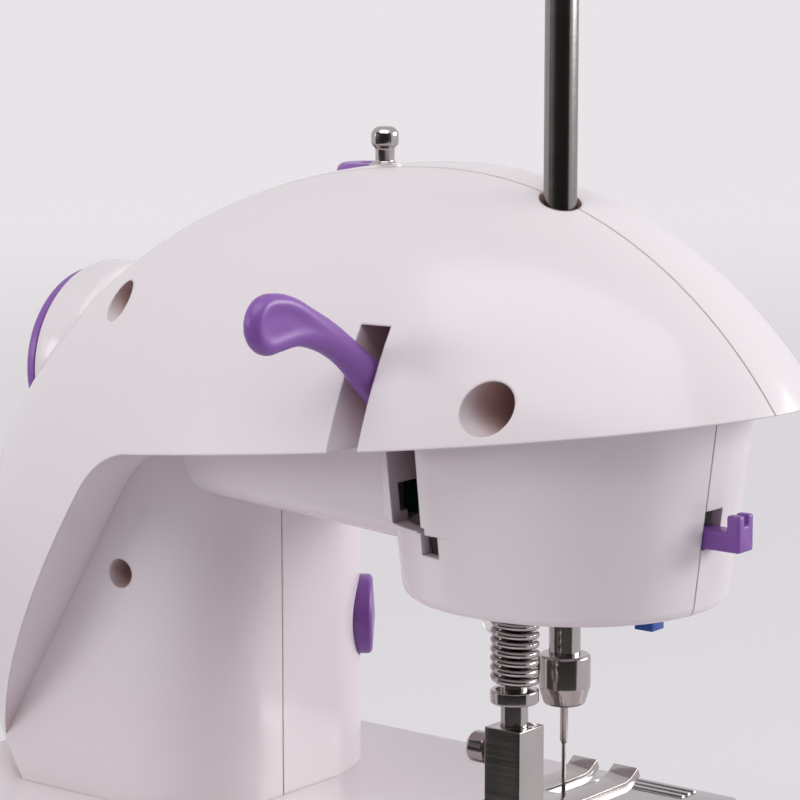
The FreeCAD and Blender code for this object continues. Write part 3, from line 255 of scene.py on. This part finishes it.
def lathe(outline, place, axis, steps=96):
    """A closed lathe mesh: radii and heights in millimetres, about the axis through the place."""
    turn = UP.rotation_difference(axis).to_matrix()
    made = bmesh.new()
    points = rounded(outline)
    rings = []
    for k in range(steps):
        angle = 2 * math.pi * k / steps
        spoke = Vector((math.cos(angle), math.sin(angle), 0))
        spots = [Vector(place) + turn @ (spoke * point.x + UP * point.y) for point in points]
        rings.append([made.verts.new(spot * MM) for spot in spots])
    for k in range(steps):
        near, far = rings[k - 1], rings[k]
        for i in range(len(points)):
            if max(points[i - 1].x, points[i].x) > 1e-6:
                made.faces.new((near[i - 1], far[i - 1], far[i], near[i]))
    bmesh.ops.remove_doubles(made, verts=made.verts, dist=1e-7)
    bmesh.ops.dissolve_degenerate(made, edges=made.edges, dist=1e-8)
    bmesh.ops.recalc_face_normals(made, faces=made.faces)
    return made


def copy_of(node, round_edges=0.0):
    """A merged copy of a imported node, its edges rounded where a radius is given."""
    made = bmesh.new()
    made.from_mesh(frame["nodes"][node].data)
    bmesh.ops.remove_doubles(made, verts=made.verts, dist=2e-6)
    bmesh.ops.dissolve_degenerate(made, edges=made.edges, dist=1e-7)
    if round_edges:
        bmesh.ops.dissolve_limit(made, angle_limit=math.radians(2), verts=made.verts, edges=made.edges)
        sharp = [e for e in made.edges if e.is_manifold and e.calc_face_angle(0) > math.radians(35)]
        bmesh.ops.bevel(made, geom=sharp, offset=round_edges, segments=3, profile=0.5,
                        affect="EDGES", clamp_overlap=True)
    return made


def shaded(made, name, crease=32):
    """The finished mesh, smooth except along edges sharper than the crease."""
    for face in made.faces:
        face.smooth = True
        face.material_index = 0
    for edge in made.edges:
        edge.smooth = edge.calc_face_angle(0) < math.radians(crease) if edge.is_manifold else False
    mesh = bpy.data.meshes.new(name)
    made.to_mesh(mesh)
    made.free()
    return mesh


def show(name, mesh, body, slot, *nodes, finish=None):
    """Adds a piece that rides on the body, in the slot's finish, in place of the nodes."""
    mesh.materials.clear()
    mesh.materials.append((finish or FINISHES[slot]).material)
    piece = bpy.data.objects.new(name, mesh)
    bpy.context.scene.collection.objects.link(piece)
    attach(piece, body)
    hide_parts(*nodes)


def dress(node, round_edges=0.0, finish=None):
    """Shows a smooth copy of a node in its own place."""
    mesh = shaded(copy_of(node, round_edges), node + "_skin")
    show(node + "_skin", mesh, BODY_OF[node], SLOT_OF[node], node, finish=finish)


def turn_piece(node, outline, place, axis, finish=None):
    """Shows a lathe piece in place of a node."""
    mesh = shaded(lathe(outline, place, axis), node + "_turned")
    show(node + "_turned", mesh, BODY_OF[node], SLOT_OF[node], node, finish=finish)


# Camera, light and floor

CAMERA_AT = (-0.3914, 0.4884, 0.2392)
CAMERA_LOOK = Vector((0.60808, -0.77831, -0.15643))
CAMERA_LENS = 132.3
# What the camera sees of the studio, and the light that falls from it
STUDIO_SEEN = (0.80, 0.768, 0.80, 1)
STUDIO_LIGHT = (0.97, 0.96, 1.0, 1)
STUDIO_STRENGTH = 0.23
# The floor's paper, its own glow, and the glow's share near the object and far from it, in metres
PAPER = (0.64, 0.615, 0.65, 1)
PAPER_GLOW = (1.0, 0.965, 1.0, 1)
NEAR, NEAR_SHARE = 0.15, 0.44
FAR, FAR_SHARE = 1.9, 0.76
SCREEN_CLOTH = (0.03, 0.027, 0.026, 1)


def add_camera():
    """The photograph's view: from behind, a little above the needle."""
    data = bpy.data.cameras.new("photo_camera")
    data.lens = CAMERA_LENS
    data.sensor_width = 36
    camera = bpy.data.objects.new("photo_camera", data)
    camera.location = CAMERA_AT
    camera.rotation_euler = CAMERA_LOOK.to_track_quat("-Z", "Y").to_euler()
    bpy.context.scene.collection.objects.link(camera)
    bpy.context.scene.camera = camera


def softbox(name, place, target, width, height, power, spread=180):
    """A rectangular studio lamp aimed at a point, its light kept within the spread, in degrees."""
    data = bpy.data.lights.new(name, "AREA")
    data.shape = "RECTANGLE"
    data.size, data.size_y = width, height
    data.energy = power
    data.spread = math.radians(spread)
    lamp = bpy.data.objects.new(name, data)
    lamp.location = place
    lamp.rotation_euler = (Vector(target) - Vector(place)).to_track_quat("-Z", "Y").to_euler()
    bpy.context.scene.collection.objects.link(lamp)


def seen_by_eye(tree):
    """1 where the camera, a mirror or glass looks, 0 where light falls."""
    path = tree.nodes.new("ShaderNodeLightPath")
    total = path.outputs["Is Camera Ray"]
    for ray in ("Is Glossy Ray", "Is Transmission Ray"):
        both = tree.nodes.new("ShaderNodeMath")
        both.operation = "MAXIMUM"
        tree.links.new(total, both.inputs[0])
        tree.links.new(path.outputs[ray], both.inputs[1])
        total = both.outputs[0]
    return total


def add_world():
    """A pale studio all round, which gives the object a plain even light."""
    world = bpy.data.worlds.new("studio")
    bpy.context.scene.world = world
    world.use_nodes = True
    tree = world.node_tree
    shown = tree.nodes["Background"]
    shown.inputs["Color"].default_value = STUDIO_SEEN
    fill = tree.nodes.new("ShaderNodeBackground")
    fill.inputs["Color"].default_value = STUDIO_LIGHT
    fill.inputs["Strength"].default_value = STUDIO_STRENGTH
    mix = tree.nodes.new("ShaderNodeMixShader")
    tree.links.new(seen_by_eye(tree), mix.inputs["Fac"])
    tree.links.new(fill.outputs[0], mix.inputs[1])
    tree.links.new(shown.outputs[0], mix.inputs[2])
    tree.links.new(mix.outputs[0], tree.nodes["World Output"].inputs["Surface"])


def add_floor():
    """A plain pale table that runs out of sight and glows a little, more so far from the object."""
    half = 30
    mesh = bpy.data.meshes.new("floor")
    mesh.from_pydata([(-half, -half, 0), (half, -half, 0), (half, half, 0), (-half, half, 0)], [],
                     [(0, 1, 2, 3)])
    floor = bpy.data.objects.new("floor", mesh)
    bpy.context.scene.collection.objects.link(floor)
    material = bpy.data.materials.new("floor_paper")
    material.use_nodes = True
    tree = material.node_tree
    paper = tree.nodes["Principled BSDF"]
    paper.inputs["Base Color"].default_value = PAPER
    paper.inputs["Roughness"].default_value = 0.9
    glow = tree.nodes.new("ShaderNodeEmission")
    glow.inputs["Color"].default_value = PAPER_GLOW
    reach = tree.nodes.new("ShaderNodeVectorMath")
    reach.operation = "LENGTH"
    tree.links.new(tree.nodes.new("ShaderNodeTexCoord").outputs["Object"], reach.inputs[0])
    share = tree.nodes.new("ShaderNodeMapRange")
    share.interpolation_type = "SMOOTHSTEP"
    tree.links.new(reach.outputs["Value"], share.inputs["Value"])
    limits = {"From Min": NEAR, "From Max": FAR, "To Min": NEAR_SHARE, "To Max": FAR_SHARE}
    for word, value in limits.items():
        share.inputs[word].default_value = value
    seen = tree.nodes.new("ShaderNodeMath")
    seen.operation = "MULTIPLY"
    tree.links.new(seen_by_eye(tree), seen.inputs[0])
    tree.links.new(share.outputs["Result"], seen.inputs[1])
    mix = tree.nodes.new("ShaderNodeMixShader")
    tree.links.new(seen.outputs[0], mix.inputs["Fac"])
    tree.links.new(paper.outputs[0], mix.inputs[1])
    tree.links.new(glow.outputs[0], mix.inputs[2])
    tree.links.new(mix.outputs[0], tree.nodes["Material Output"].inputs["Surface"])
    mesh.materials.append(material)


def add_dark_screen():
    """A dark curved screen and its skirt on the camera's side, which only bright metal and gloss mirror."""
    middle = Vector((-0.05, 0, 0))
    profile = ((0.5, 0.55), (0.5, 0.002), (0.2, 0.002))
    first, last = math.radians(38), math.radians(182)
    steps = 24
    spots, faces = [], []
    for k in range(steps + 1):
        angle = first + (last - first) * k / steps
        spoke = Vector((math.cos(angle), math.sin(angle), 0))
        spots += [middle + spoke * reach + UP * height for reach, height in profile]
        if k:
            here = len(profile) * k
            faces += [(here + i, here + i + 1, here + i - 2, here + i - 3) for i in range(2)]
    mesh = bpy.data.meshes.new("dark_screen")
    mesh.from_pydata(spots, [], faces)
    material = bpy.data.materials.new("screen_cloth")
    material.use_nodes = True
    cloth = material.node_tree.nodes["Principled BSDF"]
    cloth.inputs["Base Color"].default_value = SCREEN_CLOTH
    cloth.inputs["Roughness"].default_value = 0.9
    mesh.materials.append(material)
    screen = bpy.data.objects.new("dark_screen", mesh)
    bpy.context.scene.collection.objects.link(screen)
    screen.visible_camera = False
    screen.visible_diffuse = False
    screen.visible_transmission = False
    screen.visible_shadow = False


add_camera()
add_world()
add_floor()
add_dark_screen()
AT_HOOD = (-0.02, 0, 0.14)
AT_COLUMN = (0, 0, 0.1)
softbox("top_softbox", (-0.24, 0.42, 1.0), AT_HOOD, width=1.2, height=0.8, power=6.5)
softbox("rear_softbox", (0.85, 1.22, 0.45), AT_HOOD, width=0.9, height=0.4, power=1.45, spread=90)
softbox("front_softbox", (-1.05, -1.05, 0.6), AT_COLUMN, width=1.1, height=0.6, power=4.2, spread=90)


# Nodes that keep their solid, with a better finish
INNER = ("motor", "motor_bracket", "arm_frame", "head_frame", "bar_bushes", "shaft_bushes", "pivot_pins",
         "main_shaft", "lower_shaft", "drive_gear", "motor_pinion", "lower_gear", "hook_gear", "upper_pulley",
         "lower_pulley", "drive_belt", "crank_disc", "shuttle_race", "rotary_hook", "bobbin", "tension_post",
         "needle_yoke", "presser_guide", "lamp_board", "base_cover", "battery_door", "feed_dog")
for node in INNER:
    frame["nodes"][node].data.materials.clear()
    frame["nodes"][node].data.materials.append(FINISHES[SLOT_OF[node]].material)

# Shells and other pieces whose solid only needs smoothing
for node in ("rear_shell", "front_shell", "base_shell", "rubber_feet", "dc_jack", "pedal_jack",
             "tension_dial", "sewing_lamp", "needle_clamp", "clamp_screw", "needle", "foot_screw"):
    dress(node)
for node in ("presser_foot", "take_up_lever", "needle_plate", "slide_plate"):
    dress(node, 0.3 * MM)

# Turned pieces
SHAFT = (0, -14, 139)
WHEEL_X = 77.5
WHEEL = [(4.02, 0), (24.5, 0, 2.5), (24.5, 14, 4), (4.02, 14)]
CAP = [(0, 0), (22.5, 0), (22.5, 3, 1.6), (0, 3)]
turn_piece("handwheel", WHEEL, (WHEEL_X, *SHAFT[1:]), ALONG)
turn_piece("handwheel_cap", CAP, (WHEEL_X + 14.05, *SHAFT[1:]), ALONG)
SPOOL = (-55.2, 6, 0)
TUBE = [(2.35, 164), (3.4, 164), (3.4, 230, 0.4), (2.35, 230)]
ROD = [(0, 196), (2.3, 196), (2.3, 256), (3.4, 256, 0.3), (3.4, 259, 1.4), (0, 259)]
turn_piece("spool_tube", TUBE, SPOOL, UP, TUBE_STEEL)
turn_piece("spool_rod", ROD, SPOOL, UP)
POST = [(0, 178), (1.5, 178), (1.5, 188.45), (3.4, 188.45), (3.4, 190.2, 0.5), (2.1, 190.8, 0.5),
        (2.1, 193.6, 0.6), (3, 194.6, 0.8), (3, 198.4, 2), (0, 198.4)]
turn_piece("thread_post", POST, (2.1, -10, 0), UP)
NEEDLE_AT = (-43.4, -14, 0)
PRESSER_AT = (-43.4, 4.2, 0)
turn_piece("needle_bar", [(0, 79), (3.4, 79, 0.4), (3.4, 172, 0.4), (0, 172)], NEEDLE_AT, UP)
PRESSER = [(0, 64), (2.9, 64, 0.3), (2.9, 81.1), (5.1, 81.1, 0.4), (5.1, 83.9, 0.4), (2.9, 83.9),
           (2.9, 172, 0.4), (0, 172)]
turn_piece("presser_bar", PRESSER, PRESSER_AT, UP)
CORNER_TURN = math.radians(38)
CORNER = Vector((48.5 - 30 * math.cos(CORNER_TURN), -11 - 30 * math.sin(CORNER_TURN), 84))
OUTWARD = Vector((-math.cos(CORNER_TURN), -math.sin(CORNER_TURN), 0))
turn_piece("power_button", [(0, -3.2), (9.2, -3.2), (9.2, 2.8, 1.2), (0, 3.4)], CORNER, OUTWARD)
SPEED = [(0, -6), (4, -6), (4, -3), (6, -3), (6, 2.2, 0.9), (0, 2.7)]
turn_piece("speed_button", SPEED, (41, -40.4, 100), Vector((0, -1, 0)))

# Small moulded pieces
dress("thread_cutter", 0.5 * MM, FINISHES["purple"])
dress("needle_thread_guide", 0.4 * MM, FINISHES["blue_plastic"])


# Presser lifter

# Its outline across the arm and up, with corner radii, and the middle of its paddle, in millimetres
LIFTER_MID = -35.85
LIFTER_HALF = 2.6
LIFTER_RIM = 3.2
LIFTER = [(11, 132, 4.5), (24, 133.4, 7), (45, 149.5, 40), (54.5, 159, 28), (65, 162.2, 12),
          (79.4, 160.3, 5.8), (79.4, 173.2, 5.8), (68, 172.6, 20), (54, 165.4, 60), (40, 155.6, 14),
          (26.5, 147, 3), (20.5, 150.2, 1.6), (15.5, 149.4, 1.6), (11, 142, 3)]
PADDLE = Vector((71.5, 166.6))
DISH_DEPTH = 0.8


def edge_distance(point, loop):
    """How far a point lies from a closed outline."""
    least = 1e9
    for i in range(len(loop)):
        start, end = loop[i - 1], loop[i]
        run = end - start
        share = max(0, min(1, (point - start).dot(run) / max(run.length_squared, 1e-12)))
        least = min(least, (point - start - run * share).length)
    return least


def within(point, loop):
    """Whether a point lies inside a closed outline."""
    inside = False
    for i in range(len(loop)):
        a, b = loop[i - 1], loop[i]
        crossed = (a.y > point.y) != (b.y > point.y)
        if crossed and point.x < (b.x - a.x) * (point.y - a.y) / (b.y - a.y) + a.x:
            inside = not inside
    return inside


def smooth_step(low, high, value):
    """A share that goes softly from 0 at low to 1 at high."""
    share = max(0, min(1, (value - low) / (high - low)))
    return share * share * (3 - 2 * share)


def spoon(point, depth):
    """Half the lever's thickness: a rounded rim, and a dish in the paddle."""
    half = LIFTER_HALF * math.sqrt(max(0, 1 - (1 - min(1, depth / LIFTER_RIM)) ** 2))
    dish = smooth_step(0.7, 3.9, depth) * smooth_step(17, 3, (point - PADDLE).length)
    return half - DISH_DEPTH * dish


def add_lifter():
    """The presser lifter: a curved lever with a rounded rim that ends in a dished paddle."""
    step = 0.7
    columns, rows = 100, 62
    left, low = 10, 131
    outline = rounded(LIFTER, 10)
    loop = []
    for i in range(len(outline)):
        start, end = outline[i - 1], outline[i]
        count = max(1, int((end - start).length / step))
        loop += [start.lerp(end, k / count) for k in range(count)]
    inner = []
    for i in range(columns):
        for k in range(rows):
            point = Vector((left + step * i + (k % 2) * step / 2, low + step * k))
            if within(point, loop) and edge_distance(point, outline) > step / 2:
                inner.append(point)
    rings = []
    for inset in (0.12, 0.4):
        for i in range(len(loop)):
            side = (loop[(i + 1) % len(loop)] - loop[i - 1]).orthogonal().normalized()
            for point in (loop[i] + side * inset, loop[i] - side * inset):
                if within(point, loop) and edge_distance(point, outline) > 0.9 * inset:
                    rings.append(point)
    edges = [(i, (i + 1) % len(loop)) for i in range(len(loop))]
    points, _, faces, *_ = delaunay_2d_cdt(loop + rings + inner, edges, [], 1, 1e-4)
    made = bmesh.new()
    sides = []
    for sign in (1, -1):
        row = []
        for point in points:
            depth = edge_distance(point, outline)
            half = 0 if depth < 1e-3 else spoon(point, depth)
            row.append(made.verts.new(Vector((LIFTER_MID + sign * half, point.x, point.y)) * MM))
        sides.append(row)
    for row in sides:
        for face in faces:
            made.faces.new([row[i] for i in face])
    bmesh.ops.remove_doubles(made, verts=made.verts, dist=1e-7)
    bmesh.ops.recalc_face_normals(made, faces=made.faces)
    mesh = shaded(made, "presser_lifter_spoon", 60)
    show("presser_lifter_spoon", mesh, "lifter", "purple", "presser_lifter")


add_lifter()


# Geometry Nodes

class Grower:
    """A Geometry Nodes tree with named number inputs."""

    def __init__(self, name, **inputs):
        self.tree = bpy.data.node_groups.new(name, "GeometryNodeTree")
        self.tree.interface.new_socket("Geometry", in_out="INPUT", socket_type="NodeSocketGeometry")
        self.keys = {}
        for word, value in inputs.items():
            kind = "NodeSocketInt" if isinstance(value, int) else "NodeSocketFloat"
            label = word.replace("_", " ")
            socket = self.tree.interface.new_socket(label, in_out="INPUT", socket_type=kind)
            self.keys[socket.identifier] = value
        self.tree.interface.new_socket("Geometry", in_out="OUTPUT", socket_type="NodeSocketGeometry")
        self.source = self.tree.nodes.new("NodeGroupInput")

    def value(self, word):
        """The socket of a named input."""
        return self.source.outputs[word]

    def add(self, kind, **values):
        """A node of that kind, its inputs linked or set by name, or else its properties."""
        node = self.tree.nodes.new(kind)
        for key, value in values.items():
            word = key.replace("_", " ")
            if word not in node.inputs:
                setattr(node, key, value)
            elif isinstance(value, bpy.types.NodeSocket):
                self.tree.links.new(value, node.inputs[word])
            else:
                node.inputs[word].default_value = value
        return node

    def grown(self, name, geometry, finish, start=None):
        """The tree's result as a plain mesh."""
        solid = self.add("GeometryNodeRealizeInstances", Geometry=geometry).outputs["Geometry"]
        painted = self.add("GeometryNodeSetMaterial", Geometry=solid, Material=finish.material)
        ending = self.tree.nodes.new("NodeGroupOutput")
        self.tree.links.new(painted.outputs["Geometry"], ending.inputs["Geometry"])
        base = bpy.data.objects.new(name + "_base", start or bpy.data.meshes.new(name + "_base"))
        bpy.context.scene.collection.objects.link(base)
        modifier = base.modifiers.new("grow", "NODES")
        modifier.node_group = self.tree
        for key, value in self.keys.items():
            modifier[key] = value
        evaluated = base.evaluated_get(bpy.context.evaluated_depsgraph_get())
        mesh = bpy.data.meshes.new_from_object(evaluated)
        bpy.data.objects.remove(base)
        mesh.name = name
        return mesh


def add_spring():
    """The presser's coil spring, which stretches between the head and the bar's collar."""
    low, high = 84.95, 104.55
    grower = Grower("spring_coil", Turns=10.0, Radius=4.35 * MM, Height=(high - low) * MM, Wire=0.8 * MM)
    spiral = grower.add("GeometryNodeCurveSpiral", Resolution=48, Rotations=grower.value("Turns"),
                        Start_Radius=grower.value("Radius"), End_Radius=grower.value("Radius"),
                        Height=grower.value("Height"))
    ring = grower.add("GeometryNodeCurvePrimitiveCircle", Resolution=16, Radius=grower.value("Wire"))
    coil = grower.add("GeometryNodeCurveToMesh", Curve=spiral.outputs["Curve"],
                      Profile_Curve=ring.outputs["Curve"], Fill_Caps=True)
    mesh = grower.grown("presser_spring_coil", coil.outputs["Mesh"], FINISHES["chrome"])
    mesh.transform(Matrix.Translation(Vector((PRESSER_AT[0], PRESSER_AT[1], low)) * MM))
    made = bmesh.new()
    made.from_mesh(mesh)
    bmesh.ops.recalc_face_normals(made, faces=made.faces)
    mesh = shaded(made, "presser_spring_coil", 50)
    mesh.materials.append(FINISHES["chrome"].material)
    piece = bpy.data.objects.new("presser_spring_coil", mesh)
    bpy.context.scene.collection.objects.link(piece)
    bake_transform(piece)
    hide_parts("presser_spring")


add_spring()


def add_screws(node, head, shank, places, turn):
    """A node's pan head screws, each with a cross recess, on their points."""
    core, rise = 0.5 * head, 0.7 * head
    outline = [(0, -shank), (core, -shank), (core, 0), (head, 0), (head, rise, core), (0, rise)]
    whole_screw = shaded(lathe(outline, (0, 0, 0), UP, 32), node + "_blank")
    blank = bpy.data.objects.new(node + "_blank", whole_screw)
    bpy.context.scene.collection.objects.link(blank)
    grower = Grower(node, Recess_Length=1.2 * head * MM, Recess_Width=0.3 * head * MM,
                    Recess_Depth=1.2 * rise * MM)
    bars = []
    for long, wide in (("Recess Length", "Recess Width"), ("Recess Width", "Recess Length")):
        size = grower.add("ShaderNodeCombineXYZ", X=grower.value(long), Y=grower.value(wide),
                          Z=grower.value("Recess Depth"))
        bar = grower.add("GeometryNodeMeshCube", Size=size.outputs["Vector"])
        bars.append(grower.add("GeometryNodeTransform", Geometry=bar.outputs["Mesh"],
                               Translation=(0, 0, rise * MM)).outputs["Geometry"])
    whole = grower.add("GeometryNodeObjectInfo", Object=blank).outputs["Geometry"]
    for bar in bars:
        cut = grower.add("GeometryNodeMeshBoolean", operation="DIFFERENCE", Mesh_1=whole, Mesh_2=bar)
        whole = cut.outputs["Mesh"]
    spots = bpy.data.meshes.new(node + "_spots")
    spots.from_pydata([Vector(place) * MM for place in places], [], [])
    points = grower.add("GeometryNodeMeshToPoints", Mesh=grower.source.outputs["Geometry"])
    copies = grower.add("GeometryNodeInstanceOnPoints", Points=points.outputs["Points"], Instance=whole,
                        Rotation=turn)
    mesh = grower.grown(node + "_crossed", copies.outputs["Instances"], FINISHES[SLOT_OF[node]], spots)
    bpy.data.objects.remove(blank)
    made = bmesh.new()
    made.from_mesh(mesh)
    bmesh.ops.remove_doubles(made, verts=made.verts, dist=1e-6)
    show(node + "_crossed", shaded(made, node + "_crossed"), BODY_OF[node], SLOT_OF[node], node)


QUARTER = math.pi / 2
SHELL_SCREWS = [(-63.6, 24, 149.7), (45.4, 14, 160.8), (41.7, 20, 102)]
BASE_SCREWS = [(x, y, 3) for x in (70, -70) for y in (48, -48)]
PLATE_SCREWS = [(-58.8, 3.4, 50.5), (-26, 3.4, 50.5)]
add_screws("shell_screws", 2.8, 4, SHELL_SCREWS, (-QUARTER, 0, 0))
add_screws("base_screws", 2.6, 10, BASE_SCREWS, (2 * QUARTER, 0, 0))
add_screws("plate_screws", 2.4, 3, PLATE_SCREWS, (0, 0, 0))

bpy.context.scene.view_settings.view_transform = "Standard"
